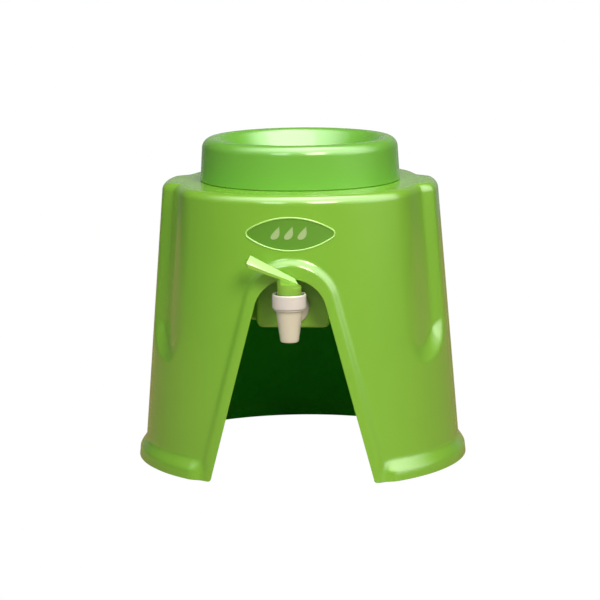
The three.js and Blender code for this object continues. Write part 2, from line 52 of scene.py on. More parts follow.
def camera_matrix(distance, rise, turn, roll, aside, height):
    """The camera's place for an aim point beside the stand's axis, in metres and radians."""
    back = Vector((math.sin(turn) * math.cos(rise), -math.cos(turn) * math.cos(rise), math.sin(rise)))
    right = Vector((math.cos(turn), math.sin(turn), 0.0))
    up = back.cross(right)
    place = Vector((0.0, 0.0, height)) + right * aside + back * distance
    level = right * math.cos(roll) - up * math.sin(roll)
    upright = right * math.sin(roll) + up * math.cos(roll)
    turn_to = Matrix((level, upright, back)).transposed().to_4x4()
    return Matrix.Translation(place) @ turn_to


lens = bpy.data.cameras.new("table_camera")
lens.lens = 146.4
lens.sensor_width = 36.0
lens.clip_end = 50.0
camera = bpy.data.objects.new("table_camera", lens)
camera.matrix_world = camera_matrix(
    2.3791, math.radians(9.794), math.radians(4.3), math.radians(0.576), -0.00132, 0.14941
)
bpy.context.collection.objects.link(camera)
bpy.context.scene.camera = camera
bpy.context.scene.view_settings.view_transform = "Standard"


def linear(colour):
    """A sRGB hex colour, such as 0x82B446, as linear red, green, blue and alpha."""
    parts = [(colour >> shift & 255) / 255 for shift in (16, 8, 0)]
    return [c / 12.92 if c <= 0.04045 else ((c + 0.055) / 1.055) ** 2.4 for c in parts] + [1.0]


def add(tree, kind, links=(), **settings):
    """Adds a node. links are (input, socket) pairs, and settings are the node's attributes."""
    node = tree.nodes.new(kind)
    for key, value in settings.items():
        setattr(node, key, value)
    for name, source in links:
        tree.links.new(source, node.inputs[name])
    return node


def put(node, **values):
    """Sets a node's input values by name, with _ for a space."""
    for key, value in values.items():
        node.inputs[key.replace("_", " ")].default_value = value
    return node


def by_ray(tree, seen, plain, glossy, camera, surface):
    """Shows one shader to the camera, another in reflections, and a third to all other light."""
    reflected = add(tree, "ShaderNodeMixShader", [("Fac", seen.outputs["Is Glossy Ray"])])
    tree.links.new(plain, reflected.inputs[1])
    tree.links.new(glossy, reflected.inputs[2])
    chosen = add(tree, "ShaderNodeMixShader", [("Fac", seen.outputs["Is Camera Ray"])])
    tree.links.new(reflected.outputs["Shader"], chosen.inputs[1])
    tree.links.new(camera, chosen.inputs[2])
    tree.links.new(chosen.outputs["Shader"], surface)


def sweep_paper():
    """White sweep paper with a faint mottle. The camera sees it blank, and polished surfaces
    reflect it warm and dim."""
    material = bpy.data.materials.new("white_sweep_paper")
    material.use_nodes = True
    tree = material.node_tree
    shader = put(tree.nodes["Principled BSDF"], Roughness=0.7)
    place = add(tree, "ShaderNodeTexCoord")
    mottle = add(tree, "ShaderNodeTexNoise", [("Vector", place.outputs["Object"])])
    put(mottle, Scale=1 / (60 * mm), Detail=3.0)
    mix = add(tree, "ShaderNodeMix", [("Factor", mottle.outputs["Fac"])], data_type="RGBA")
    mix.inputs["A"].default_value = linear(0x8A8A88)
    mix.inputs["B"].default_value = linear(0x929290)
    tree.links.new(mix.outputs["Result"], shader.inputs["Base Color"])
    seen = add(tree, "ShaderNodeLightPath")
    blank = put(add(tree, "ShaderNodeEmission"), Color=linear(0xFFFFFF), Strength=1.0)
    warm = put(add(tree, "ShaderNodeEmission"), Color=linear(0xF4D89C), Strength=0.42)
    by_ray(
        tree, seen, shader.outputs["BSDF"], warm.outputs["Emission"], blank.outputs["Emission"],
        tree.nodes["Material Output"].inputs["Surface"],
    )
    return material


def link(name, mesh, material=None):
    piece = bpy.data.objects.new(name, mesh)
    bpy.context.collection.objects.link(piece)
    if material:
        mesh.materials.append(material)
    return piece


floor_mesh = bpy.data.meshes.new("table_top")
floor_bm = bmesh.new()
bmesh.ops.create_grid(floor_bm, x_segments=1, y_segments=1, size=table_half)
floor_bm.to_mesh(floor_mesh)
floor_bm.free()
table = link("table_top", floor_mesh, sweep_paper())


def soft_box(name, place, aim, size, power, tint=0xFFFFFF):
    """A rectangular area light, turned to face a point."""
    lamp = bpy.data.lights.new(name, "AREA")
    lamp.shape = "RECTANGLE"
    lamp.size, lamp.size_y = size
    lamp.energy = power
    lamp.color = linear(tint)[:3]
    holder = bpy.data.objects.new(name, lamp)
    holder.location = place
    holder.rotation_euler = (Vector(aim) - Vector(place)).to_track_quat("-Z", "Y").to_euler()
    bpy.context.collection.objects.link(holder)


soft_box("overhead_box", (0.15, -0.1, 1.6), (0, 0, 0.2), (1.0, 0.8), 8)
soft_box("key_box", (0.85, -1.9, 1.6), (0, 0, 0.1), (0.9, 0.9), 36, 0xFFF6E6)
soft_box("left_fill", (-0.7, -2.0, 1.5), (0, 0, 0.1), (0.8, 0.8), 12, 0xF4FFF6)


def studio_room():
    """The room: a blank white wall to the camera, dim to the light that falls on the stand, and
    in polished surfaces a bright ceiling panel, a little to the right, over dark walls."""
    world = bpy.data.worlds.new("studio_room")
    bpy.context.scene.world = world
    world.use_nodes = True
    tree = world.node_tree
    seen = add(tree, "ShaderNodeLightPath")
    place = add(tree, "ShaderNodeTexCoord")
    around = add(tree, "ShaderNodeSeparateXYZ", [("Vector", place.outputs["Generated"])])
    ceiling = add(tree, "ShaderNodeMapping", [("Vector", place.outputs["Generated"])])
    put(ceiling, Location=(-0.11, 0.16, 0), Scale=(0.55, 0.9, 0))
    reach = add(tree, "ShaderNodeVectorMath", [(0, ceiling.outputs["Vector"])], operation="LENGTH")
    panel = add(
        tree, "ShaderNodeMapRange", [("Value", reach.outputs["Value"])], interpolation_type="SMOOTHSTEP"
    )
    put(panel, From_Min=0.66, From_Max=0.3, To_Min=0.0, To_Max=4.4)
    above = add(tree, "ShaderNodeMapRange", [("Value", around.outputs["Z"])])
    put(above, From_Min=0.0, From_Max=0.2)
    shine = add(
        tree, "ShaderNodeMath", [(0, panel.outputs["Result"]), (1, above.outputs["Result"])],
        operation="MULTIPLY",
    )
    behind = add(tree, "ShaderNodeMapRange", [("Value", around.outputs["Y"])])
    put(behind, From_Min=0.75, From_Max=0.97, To_Min=0.05, To_Max=0.35)
    total = add(
        tree, "ShaderNodeMath", [(0, shine.outputs["Value"]), (1, behind.outputs["Result"])],
        operation="ADD",
    )
    mirrored = add(tree, "ShaderNodeBackground", [("Strength", total.outputs["Value"])])
    put(mirrored, Color=linear(0xFFFFFF))
    dim = put(add(tree, "ShaderNodeBackground"), Color=linear(0xFFFFFF), Strength=0.26)
    blank = put(add(tree, "ShaderNodeBackground"), Color=linear(0xFFFFFF), Strength=1.0)
    by_ray(
        tree, seen, dim.outputs["Background"], mirrored.outputs["Background"],
        blank.outputs["Background"], tree.nodes["World Output"].inputs["Surface"],
    )


studio_room()


# ---- Stand shell ----
# The round stand is one injection moulding in glossy green polypropylene, 3 mm thick and
# drafted so that it comes off its core. The wall is pressed in at four grips, swells round
# the arch in a raised frame, and steps out to a hem at the floor.
shell_low, shell_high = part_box("stand_shell")
hem_radius = shell_high.x
deck_height = shell_high.z
hem_step = 7.2 * mm
hem_lip = 8.5 * mm
hem_height = 19.3 * mm
shoulder_height = deck_height - 0.2 * mm
shoulder_radius = 132.58 * mm
shoulder_round = 9 * mm
deck_flat = 98 * mm
deck_hole = 91 * mm
shell_wall = 3 * mm
pocket_deep = 1.2 * mm
arch_radius = 34.2 * mm
arch_centre = 159.1 * mm
arch_spread = math.radians(14.7)
bead_radius = 47.7 * mm
bead_centre = 165.8 * mm
body_foot = hem_radius - hem_step
draft = (body_foot - shoulder_radius) / (shoulder_height - hem_height)


def polypropylene(name, colour, shade, roughness=0.2, peel=0.012, shine=0.85, coat=0.25):
    """Glossy moulded polypropylene: an even waxy colour with soft flow clouds, a slightly
    uneven polish and a very fine orange peel, in millimetres, that breaks up the reflections."""
    material = bpy.data.materials.new(name)
    material.use_nodes = True
    tree = material.node_tree
    shader = tree.nodes["Principled BSDF"]
    put(shader, IOR=1.49, Specular_IOR_Level=shine, Coat_Weight=coat, Coat_Roughness=0.08)
    place = add(tree, "ShaderNodeTexCoord")
    flow = add(tree, "ShaderNodeTexNoise", [("Vector", place.outputs["Object"])])
    put(flow, Scale=1 / (70 * mm), Detail=2.0, Roughness=0.45)
    mix = add(tree, "ShaderNodeMix", [("Factor", flow.outputs["Fac"])], data_type="RGBA")
    mix.inputs["A"].default_value = linear(shade)
    mix.inputs["B"].default_value = linear(colour)
    tree.links.new(mix.outputs["Result"], shader.inputs["Base Color"])
    polish = add(tree, "ShaderNodeTexNoise", [("Vector", place.outputs["Object"])])
    put(polish, Scale=1 / (9 * mm), Detail=4.0, Roughness=0.6)
    gloss = add(tree, "ShaderNodeMapRange", [("Value", polish.outputs["Fac"])])
    put(gloss, To_Min=roughness - 0.03, To_Max=roughness + 0.05)
    tree.links.new(gloss.outputs["Result"], shader.inputs["Roughness"])
    skin = add(tree, "ShaderNodeTexNoise", [("Vector", place.outputs["Object"])])
    put(skin, Scale=1 / (1.6 * mm), Detail=2.0, Roughness=0.5)
    bump = add(tree, "ShaderNodeBump", [("Height", skin.outputs["Fac"])])
    put(bump, Strength=0.35, Distance=peel * mm)
    tree.links.new(bump.outputs["Normal"], shader.inputs["Normal"])
    return material


def spin_profile(bm, profile, steps, start=0.0, sweep=2 * math.pi, closed=False):
    """Turns a [radius, height] profile round the Z axis."""
    corners = [bm.verts.new((r * math.sin(start), -r * math.cos(start), z)) for r, z in profile]
    pairs = list(zip(corners, corners[1:]))
    if closed:
        pairs.append((corners[-1], corners[0]))
    edges = [bm.edges.new(pair) for pair in pairs]
    full = abs(sweep - 2 * math.pi) < 1e-6
    bmesh.ops.spin(
        bm, geom=corners + edges, cent=(0, 0, 0), axis=(0, 0, 1), angle=sweep,
        steps=steps, use_merge=full, use_duplicate=False,
    )


def arc(centre_r, centre_z, radius, start, end, steps):
    """Points of a profile on an arc, in degrees from straight outwards."""
    turns = [math.radians(start + (end - start) * i / steps) for i in range(steps + 1)]
    return [(centre_r + radius * math.cos(t), centre_z + radius * math.sin(t)) for t in turns]


def rows(low, high, count):
    return [low + (high - low) * i / count for i in range(count + 1)]


def ramp(value, start, end, ease=0.5):
    """0 before start and 1 after end, with a soft corner at each."""
    t = min(max((value - start) / (end - start), 0.0), 1.0)
    return t + (t * t * (3 - 2 * t) - t) * ease


def wall_radius(z):
    return body_foot - draft * (z - hem_height)


def hem_extra(z):
    """How far the hem stands out from the tapered wall: a rounded ledge over an upright lip."""
    if z <= hem_lip:
        return hem_radius - wall_radius(z) - 0.1 * z
    return (hem_radius - wall_radius(hem_lip) - 0.1 * hem_lip) * (1 - ramp(z, hem_lip, hem_height, 0.5))


def grip_depth(azimuth, z):
    """How far a grip is pressed in. The floor slopes in from its front edge to a steep wall,
    and the foot is a crescent ledge."""
    side = abs(azimuth)
    a = 180 - side if side > 90 else side
    spread = (57 - a) / 10 if a < 57 else (a - 57) / 22
    low = (102.5 + 29 * spread ** 2) * mm
    across = ramp(a, 46, 69, 0.9) * (1 - ramp(a, 71, 77.5, 0.25))
    return 8.5 * mm * across * ramp(z, low, low + 16.5 * mm, 0.3)


def arch_distance(x, z, radius, centre):
    """Distance outside an arch outline: a round top, and straight sides that spread."""
    x = abs(x)
    from_centre = Vector((x, z - centre))
    outward = Vector((math.cos(arch_spread), math.sin(arch_spread)))
    down = Vector((math.sin(arch_spread), -math.cos(arch_spread)))
    if from_centre.dot(down) > 0:
        return from_centre.dot(outward) - radius
    return from_centre.length - radius


def frame_height(x, z):
    """The raised frame round the arch: highest on its rounded rim, and lower at the feet."""
    rim = arch_distance(x, z, bead_radius, bead_centre)
    if rim > -2.0 * mm:
        return 0.0
    proud = (2.2 + 1.9 * ramp(z, 0, arch_centre, 0.5)) * mm
    inner = arch_distance(x, z, arch_radius, arch_centre)
    dish = 0.2 * (1 - ramp(inner, 1 * mm, 12 * mm, 1.0))
    lip = 0.5 * mm * (1 - ramp(inner, -0.1 * mm, 1.2 * mm, 0.6))
    return proud * (1 - ramp(rim, -8.6 * mm, -2.0 * mm, 0.6)) * (1 - dish) - lip


def shape_shell(bm):
    deck_edge = shoulder_radius - shoulder_round
    for v in bm.verts:
        r = math.hypot(v.co.x, v.co.y)
        azimuth = math.degrees(math.atan2(v.co.x, -v.co.y))
        hold = min(max((r - deck_flat - 6 * mm) / (deck_edge - deck_flat - 6 * mm), 0.0), 1.0)
        push = grip_depth(azimuth, v.co.z) * hold
        push += hem_extra(v.co.z) * (1 - ramp(abs(azimuth), 31.5, 38.5, 1.0)) if v.co.z < hem_height else 0
        if abs(azimuth) < 45 and v.co.z < 0.23:
            push -= frame_height(v.co.x, v.co.z)
        v.co.x *= (r - push) / r
        v.co.y *= (r - push) / r


def arch_cutter():
    """A prism with the arch's outline and rounded feet, to cut the opening."""
    bm = bmesh.new()
    spread = arch_spread
    side_z = arch_centre + arch_radius * math.sin(spread)
    side_x = arch_radius * math.cos(spread)
    foot_round = 4 * mm
    foot_x = side_x + (side_z - foot_round) * math.tan(spread)
    top = [
        (arch_radius * math.cos(t), arch_centre + arch_radius * math.sin(t))
        for t in rows(spread, math.pi - spread, 64)
    ]
    corner = [
        (foot_x + foot_round - foot_round * math.cos(t), foot_round - foot_round * math.sin(t))
        for t in rows(math.radians(90), math.radians(0), 6)
    ]
    right = [(foot_x + 20 * mm, -5 * mm), (foot_x + 20 * mm, 0)] + corner
    left = [(-x, z) for x, z in reversed(right)]
    outline = [bm.verts.new((x, -230 * mm, z)) for x, z in right + top + left]
    face = bm.faces.new(outline)
    grown = bmesh.ops.extrude_face_region(bm, geom=[face])
    moved = [g for g in grown["geom"] if isinstance(g, bmesh.types.BMVert)]
    bmesh.ops.translate(bm, verts=moved, vec=(0, 190 * mm, 0))
    bmesh.ops.recalc_face_normals(bm, faces=bm.faces)
    return bm


def mesh_of(bm, name):
    mesh = bpy.data.meshes.new(name)
    bm.to_mesh(mesh)
    bm.free()
    return mesh


def boolean(piece, bm, operation, name="cutter"):
    """Cuts or joins a closed bmesh into a piece, and applies it."""
    tool = link(name, mesh_of(bm, name))
    change = piece.modifiers.new(name, "BOOLEAN")
    change.operation = operation
    change.solver = "EXACT"
    change.object = tool
    bpy.context.view_layer.update()
    made = bpy.data.meshes.new_from_object(piece.evaluated_get(bpy.context.evaluated_depsgraph_get()))
    piece.modifiers.clear()
    old = piece.data
    made.name = old.name + "_cut"
    piece.data = made
    bpy.data.meshes.remove(old)
    bpy.data.objects.remove(tool)


def smooth(piece, angle=32):
    """Shades a piece smooth, with creases kept where faces meet at more than an angle."""
    mesh = piece.data
    mesh.shade_smooth()
    mesh.set_sharp_from_angle(angle=math.radians(angle))


def lens_points(half_width, half_height, tip, steps):
    """A lens outline of two shallow arcs, with tips rounded to a radius, in x and z."""
    radius = (half_width ** 2 + half_height ** 2) / (2 * half_height)
    low = half_height - radius
    inner = radius - tip
    tip_x = math.sqrt(inner ** 2 - low ** 2)
    lean = math.atan2(-low, tip_x)
    upper = [(radius * math.cos(t), low + radius * math.sin(t)) for t in rows(lean, math.pi - lean, steps)]
    end = [(-tip_x + tip * math.cos(t), tip * math.sin(t)) for t in rows(math.pi - lean, math.pi + lean, 8)]
    half = upper + end[1:-1]
    return half + [(-x, -z) for x, z in half]


badge_low, badge_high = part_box("badge_plate")
badge_half = (badge_high.x - badge_low.x) / 2
badge_tall = (badge_high.z - badge_low.z) / 2
badge_z = (badge_high.z + badge_low.z) / 2 + 0.6 * mm
tip_round = 3.5 * mm


def lens_block(half_width, half_height, near, far, across=48):
    """A lens-shaped block bent round the stand, between two heights above its wall."""
    bm = bmesh.new()
    outline = lens_points(half_width, half_height, tip_round, across)
    face = bm.faces.new([bm.verts.new((x, -0.2, badge_z + z)) for x, z in outline])
    cuts = rows(-half_width, half_width, 24)[1:-1]
    for x in cuts:
        whole = bm.verts[:] + bm.edges[:] + bm.faces[:]
        bmesh.ops.bisect_plane(bm, geom=whole, plane_co=(x, 0, 0), plane_no=(1, 0, 0))
    grown = bmesh.ops.extrude_face_region(bm, geom=bm.faces[:])
    moved = {g for g in grown["geom"] if isinstance(g, bmesh.types.BMVert)}
    for v in bm.verts:
        reach = wall_radius(v.co.z) + (near if v in moved else far)
        v.co.y = -math.sqrt(reach ** 2 - v.co.x ** 2)
    bmesh.ops.recalc_face_normals(bm, faces=bm.faces)
    return bm


def make_shell(material):
    bm = bmesh.new()
    fillet_z = shoulder_height - shoulder_round
    fillet_r = wall_radius(fillet_z) - shoulder_round
    heights = rows(0, hem_lip, 2)[:-1] + rows(hem_lip, hem_height, 9)[:-1]
    heights += rows(hem_height, 96 * mm, 22)[:-1] + rows(96 * mm, 138 * mm, 24)[:-1]
    heights += rows(138 * mm, 222 * mm, 42)[:-1] + rows(222 * mm, fillet_z, 8)[:-1]
    profile = [(hem_radius - 1.0 * mm, 0)]
    profile += [(wall_radius(z) + hem_extra(z), max(z, 0.6 * mm)) for z in heights]
    profile += arc(fillet_r, fillet_z, shoulder_round, 0, 90, 9)
    profile += [(r, shoulder_height + (deck_height - shoulder_height) * (fillet_r - r) / (fillet_r - deck_flat))
                for r in rows(fillet_r, deck_flat, 6)[1:]]
    profile += [(deck_hole + 1 * mm, deck_height), (deck_hole, deck_height - 0.4 * mm)]
    spin_profile(bm, profile, 400)
    shape_shell(bm)
    bmesh.ops.recalc_face_normals(bm, faces=bm.faces)
    shell = link("shell_moulding", mesh_of(bm, "shell_moulding"), material)
    thick = shell.modifiers.new("wall", "SOLIDIFY")
    thick.thickness = shell_wall
    thick.offset = -1.0
    thick.use_rim = True
    bpy.context.view_layer.update()
    solid = bpy.data.meshes.new_from_object(shell.evaluated_get(bpy.context.evaluated_depsgraph_get()))
    shell.modifiers.clear()
    shell.data = solid
    boolean(shell, arch_cutter(), "DIFFERENCE")
    boolean(shell, lens_block(badge_half + 2.2 * mm, badge_tall - 0.5 * mm, 8 * mm, -pocket_deep), "DIFFERENCE")
    # The core side of the mould isn't polished, so the inside is matt. Its deeper, more saturated green is
    # painted shade for the dim light inside the stand.
    shell.data.materials.append(polypropylene(
        "green_polypropylene_unpolished_painted_shade", 0x3CD22A, 0x36C424, roughness=0.5, shine=0.1, coat=0.0
    ))
    # Faces that look inwards, and those under the deck, take this painted-shade green.
    for face in shell.data.polygons:
        centre = face.center
        facing_out = face.normal.dot(Vector((centre.x, centre.y, 0)).normalized())
        behind = wall_radius(centre.z) - math.hypot(centre.x, centre.y)
        under_deck = face.normal.z < -0.5 and centre.z > 200 * mm
        if facing_out < -0.8 or facing_out < -0.5 and behind > pocket_deep or under_deck:
            face.material_index = 1
    smooth(shell)
    return shell


green_shell = polypropylene("green_polypropylene_gloss", 0x8CC63E, 0x84BE39)
shell = make_shell(green_shell)
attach(shell, "stand")
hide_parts("stand_shell")


# ---- Badge ----
# A lens-shaped plate lies in a shallow pocket over the arch, ringed by a fine raised bead
# that is polished in the mould. A row of slanting water drops stands on it in relief.
badge_wide = badge_half + 1.9 * mm
bead_thick = 0.85 * mm
drop_height = 12.2 * mm
drop_width = 8.8 * mm
drop_pitch = 12.4 * mm
drop_slant = 0.45
drop_rise = 1.2 * mm
drop_relief = 0.35 * mm
badge_face = -0.35 * mm


def on_wall(x, z, above):
    """A point on the stand's front, at a height above its wall."""
    reach = wall_radius(z) + above
    return Vector((x, -math.sqrt(reach ** 2 - x ** 2), z))


def tube(bm, path, radius, sides=8):
    """A closed round bead along a closed path of points on the wall."""
    rings = []
    for i, point in enumerate(path):
        along = (path[(i + 1) % len(path)] - path[i - 1]).normalized()
        out = Vector((point.x, point.y, 0)).normalized()
        across = along.cross(out).normalized()
        ring = [
            bm.verts.new(point + (across * math.cos(t) + out * math.sin(t)) * radius)
            for t in rows(0, 2 * math.pi, sides)[:-1]
        ]
        rings.append(ring)
    for i, ring in enumerate(rings):
        for k in range(sides):
            bm.faces.new((rings[i - 1][k], rings[i - 1][k - 1], ring[k - 1], ring[k]))


def drop_points(width, height, steps=28):
    """A water drop: a round foot that draws up to a point."""
    points = []
    for t in rows(0, 2 * math.pi, steps)[:-1]:
        lean = math.sin(t / 2) ** 1.7
        points.append((width / 2 * math.sin(t) * lean * 1.25, height / 2 * math.cos(t)))
    return points


badge = link(
    "badge_plate_lens",
    mesh_of(lens_block(badge_wide, badge_tall - 0.8 * mm, badge_face, -1.05 * mm), "badge_plate_lens"),
    polypropylene("green_polypropylene_satin", 0x66A028, 0x609A24, roughness=0.32, peel=0.02),
)
edge = badge.modifiers.new("edge", "BEVEL")
edge.width = 0.3 * mm
edge.segments = 2
edge.limit_method = "ANGLE"
smooth(badge)
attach(badge, "stand")
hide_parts("badge_plate")

bead_bm = bmesh.new()
bead_line = lens_points(badge_half + 2.9 * mm, badge_tall + 0.1 * mm, tip_round + 0.8 * mm, 60)
tube(bead_bm, [on_wall(x, badge_z + z, 0.05 * mm) for x, z in bead_line], bead_thick)
bmesh.ops.recalc_face_normals(bead_bm, faces=bead_bm.faces)
pale_green = polypropylene("pale_green_polypropylene_polished", 0xBEF07C, 0xB6EA74, roughness=0.18)
bead = link("badge_bead", mesh_of(bead_bm, "badge_bead"), pale_green)
smooth(bead, 60)
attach(bead, "stand")

drops_bm = bmesh.new()
for place in (-1, 0, 1):
    outline = [(x + z * drop_slant, z) for x, z in drop_points(drop_width, drop_height)]
    foot = badge_face - 0.2 * mm
    face = drops_bm.faces.new([
        drops_bm.verts.new(on_wall(x + place * drop_pitch, badge_z + drop_rise + z, foot))
        for x, z in outline
    ])
    grown = bmesh.ops.extrude_face_region(drops_bm, geom=[face])
    for v in grown["geom"]:
        if isinstance(v, bmesh.types.BMVert):
            v.co = on_wall(v.co.x, v.co.z, badge_face + drop_relief)
bmesh.ops.recalc_face_normals(drops_bm, faces=drops_bm.faces)
drops = link("badge_drops", mesh_of(drops_bm, "badge_drops"),
             polypropylene("pale_green_foil_print", 0xB4CC90, 0x9FBC76, roughness=0.35))
rounding = drops.modifiers.new("edge", "BEVEL")
rounding.width = 0.15 * mm
rounding.segments = 2
smooth(drops)
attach(drops, "stand")


# ---- Bottle collar ----
# A separate moulding that drops into the deck's hole. A thick rounded rim leads into a smooth
# funnel that seats the bottle's shoulder, with a sleeve in the middle for its neck.
collar_low, collar_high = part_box("bottle_collar")
collar_foot = deck_height + 0.3 * mm
collar_radius = collar_high.x
rim_round = 10.2 * mm
collar_draft = 1.9 * mm
rim_turn = collar_radius - collar_draft - rim_round
rim_centre = collar_high.z - rim_round
collar_wall = 3 * mm
skirt_radius = collar_radius - 5.7 * mm
sleeve_radius = 31 * mm
sleeve_top = rim_centre - 39.5 * mm


def make_collar(material):
    inner_round = rim_round - collar_wall
    half_turn = rim_round * math.sin(math.pi / 4)
    funnel_top = Vector((rim_turn - half_turn, rim_centre + half_turn))
    funnel_foot = Vector((sleeve_radius + 7 * mm, sleeve_top + 4.6 * mm))
    profile = [
        (skirt_radius, deck_height - 4.8 * mm),
        (skirt_radius, collar_foot - 0.1 * mm),
        (collar_radius - 0.5 * mm, collar_foot - 0.05 * mm),
        (collar_radius, collar_foot + 0.5 * mm),
        (collar_radius - 0.25 * mm, collar_foot + 4 * mm),
    ]
    profile += [
        (collar_radius - collar_draft * t, collar_foot + (rim_centre - collar_foot) * t)
        for t in rows(0.25, 0.9, 5)
    ]
    profile += arc(rim_turn, rim_centre, rim_round, 0, 135, 22)
    profile += [tuple(funnel_top.lerp(funnel_foot, t)) for t in rows(0, 1, 8)[1:]]
    profile += [
        (sleeve_radius + 3.4 * mm, sleeve_top + 0.4 * mm),
        (sleeve_radius + 1.2 * mm, sleeve_top - 3.4 * mm),
        (sleeve_radius + 0.3 * mm, sleeve_top - 8 * mm),
        (sleeve_radius, sleeve_top - 23.5 * mm),
        (sleeve_radius + 0.5 * mm, sleeve_top - 24 * mm),
        (sleeve_radius + collar_wall - 0.5 * mm, sleeve_top - 24 * mm),
        (sleeve_radius + collar_wall, sleeve_top - 23.5 * mm),
        (sleeve_radius + collar_wall + 0.4 * mm, sleeve_top - 8 * mm),
        (sleeve_radius + collar_wall + 3 * mm, sleeve_top - 1.8 * mm),
    ]
    profile += arc(rim_turn, rim_centre, inner_round, 135, 0, 10)
    profile += [
        (collar_radius - collar_wall - 0.8 * mm, collar_foot + 6 * mm),
        (skirt_radius - collar_wall + 0.2 * mm, collar_foot + 2 * mm),
        (skirt_radius - collar_wall + 0.2 * mm, deck_height - 4.8 * mm),
    ]
    bm = bmesh.new()
    spin_profile(bm, profile, 200, closed=True)
    bmesh.ops.remove_doubles(bm, verts=bm.verts, dist=0.005 * mm)
    bmesh.ops.recalc_face_normals(bm, faces=bm.faces)
    return link("collar_moulding", mesh_of(bm, "collar_moulding"), material)


collar = make_collar(polypropylene("green_polypropylene_collar", 0x7CC048, 0x74B840, roughness=0.24))
smooth(collar, 35)
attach(collar, "collar")
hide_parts("bottle_collar")


# ---- Water tank ----
# The bowl hangs under the deck from a flange with four screws. A box with rounded corners
# stands out of its front, and the tap is clamped in the middle of the box's flat face.
tank_low, tank_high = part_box("water_tank")
tank_floor = tank_low.z
tank_top = tank_high.z
tank_wall = 2.5 * mm
tank_flange = tank_high.x
bowl_top = skirt_radius - 5.1 * mm
bowl_foot = bowl_top - 6.5 * mm
box_half = 35 * mm
box_face = 103.7 * mm
box_tall = 74 * mm
box_round = 7 * mm
edge_round = 3 * mm
shank_height = tank_floor + 20.3 * mm


def rounded_box(half, face, low, high, corner, back, edge_width):
    """A box with rounded upright corners seen from the front, and a rounded front edge."""
    bm = bmesh.new()
    outline = []
    for centre_x, centre_z, start in (
        (half - corner, low + corner, -90), (half - corner, high - corner, 0),
        (corner - half, high - corner, 90), (corner - half, low + corner, 180),
    ):
        outline += arc(centre_x, centre_z, corner, start, start + 90, 8)
    face_ring = bm.faces.new([bm.verts.new((x, -face, z)) for x, z in outline])
    grown = bmesh.ops.extrude_face_region(bm, geom=[face_ring])
    moved = [g for g in grown["geom"] if isinstance(g, bmesh.types.BMVert)]
    bmesh.ops.translate(bm, verts=moved, vec=(0, face - back, 0))
    bmesh.ops.recalc_face_normals(bm, faces=bm.faces)
    if edge_width:
        front = [e for e in bm.edges if all(abs(v.co.y + face) < 1e-6 for v in e.verts)]
        bmesh.ops.bevel(bm, geom=front, offset=edge_width, segments=5, profile=0.5, affect="EDGES", material=-1)
    return bm


def bowl(profile, steps=144):
    bm = bmesh.new()
    spin_profile(bm, profile, steps)
    bmesh.ops.remove_doubles(bm, verts=bm.verts, dist=0.005 * mm)
    bmesh.ops.recalc_face_normals(bm, faces=bm.faces)
    return bm


def make_tank(material):
    flange_z = tank_top - 3 * mm
    outer = [(0, tank_floor)] + arc(bowl_foot - 6 * mm, tank_floor + 6 * mm, 6 * mm, -90, 0, 6)
    outer += [(bowl_top, flange_z), (tank_flange - 0.5 * mm, flange_z), (tank_flange, flange_z + 0.5 * mm)]
    outer += [(tank_flange, tank_top - 0.5 * mm), (tank_flange - 0.5 * mm, tank_top), (0, tank_top)]
    inner = [(0, tank_floor + tank_wall)]
    inner += arc(bowl_foot - 7.2 * mm, tank_floor + 7.2 * mm, 4.7 * mm, -90, 0, 6)
    inner += [(bowl_top - tank_wall, tank_top + 1 * mm), (0, tank_top + 1 * mm)]
    tank = link("tank_moulding", mesh_of(bowl(outer), "tank_moulding"), material)
    box = rounded_box(
        box_half, box_face, tank_floor, tank_floor + box_tall, box_round, 24 * mm, edge_round
    )
    boolean(tank, box, "UNION")
    boolean(tank, bowl(inner), "DIFFERENCE")
    hollow = rounded_box(
        box_half - tank_wall, box_face - tank_wall, tank_floor + tank_wall,
        tank_floor + box_tall - tank_wall, box_round - tank_wall / 2, 50 * mm, 0,
    )
    boolean(tank, hollow, "DIFFERENCE")
    smooth(tank, 34)
    return tank


tank = make_tank(polypropylene("green_polypropylene_tank", 0xA0E03C, 0x98D834, roughness=0.4))
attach(tank, "stand")
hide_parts("water_tank")


# ---- Tap body and ring ----
# The tap is white polypropylene that has yellowed a little. A tapered spout hangs from the
# barrel, a short neck runs back to a round flange, and a ring nut closes the barrel's top.
ring_low, ring_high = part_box("tap_ring")
barrel = Vector(((ring_low.x + ring_high.x) / 2, (ring_low.y + ring_high.y) / 2, ring_low.z))
ring_radius = (ring_high.x - ring_low.x) / 2
ring_height = ring_high.z - ring_low.z
spout_length = ring_low.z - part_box("tap_body")[0].z
flange_radius = 15.5 * mm
flange_face = box_face + 5.9 * mm


def white_plastic(name, colour, shade):
    """White moulded polypropylene: slightly translucent and waxy, warmer where it is thick,
    with a satin polish and fine draw marks down the sides."""
    material = polypropylene(name, colour, shade, roughness=0.3, peel=0.01)
    tree = material.node_tree
    shader = tree.nodes["Principled BSDF"]
    put(shader, Subsurface_Weight=0.25, Subsurface_Scale=4 * mm, Subsurface_Radius=(1.0, 0.8, 0.6))
    place = add(tree, "ShaderNodeTexCoord")
    stretch = add(tree, "ShaderNodeMapping", [("Vector", place.outputs["Object"])])
    put(stretch, Scale=(1 / (0.5 * mm), 1 / (0.5 * mm), 1 / (14 * mm)))
    marks = add(tree, "ShaderNodeTexNoise", [("Vector", stretch.outputs["Vector"])])
    put(marks, Scale=1.0, Detail=2.0)
    draw = add(tree, "ShaderNodeBump", [("Height", marks.outputs["Fac"])])
    put(draw, Strength=0.25, Distance=0.02 * mm)
    under = shader.inputs["Normal"].links[0].from_node
    tree.links.new(under.outputs["Normal"], draw.inputs["Normal"])
    tree.links.new(draw.outputs["Normal"], shader.inputs["Normal"])
    return material


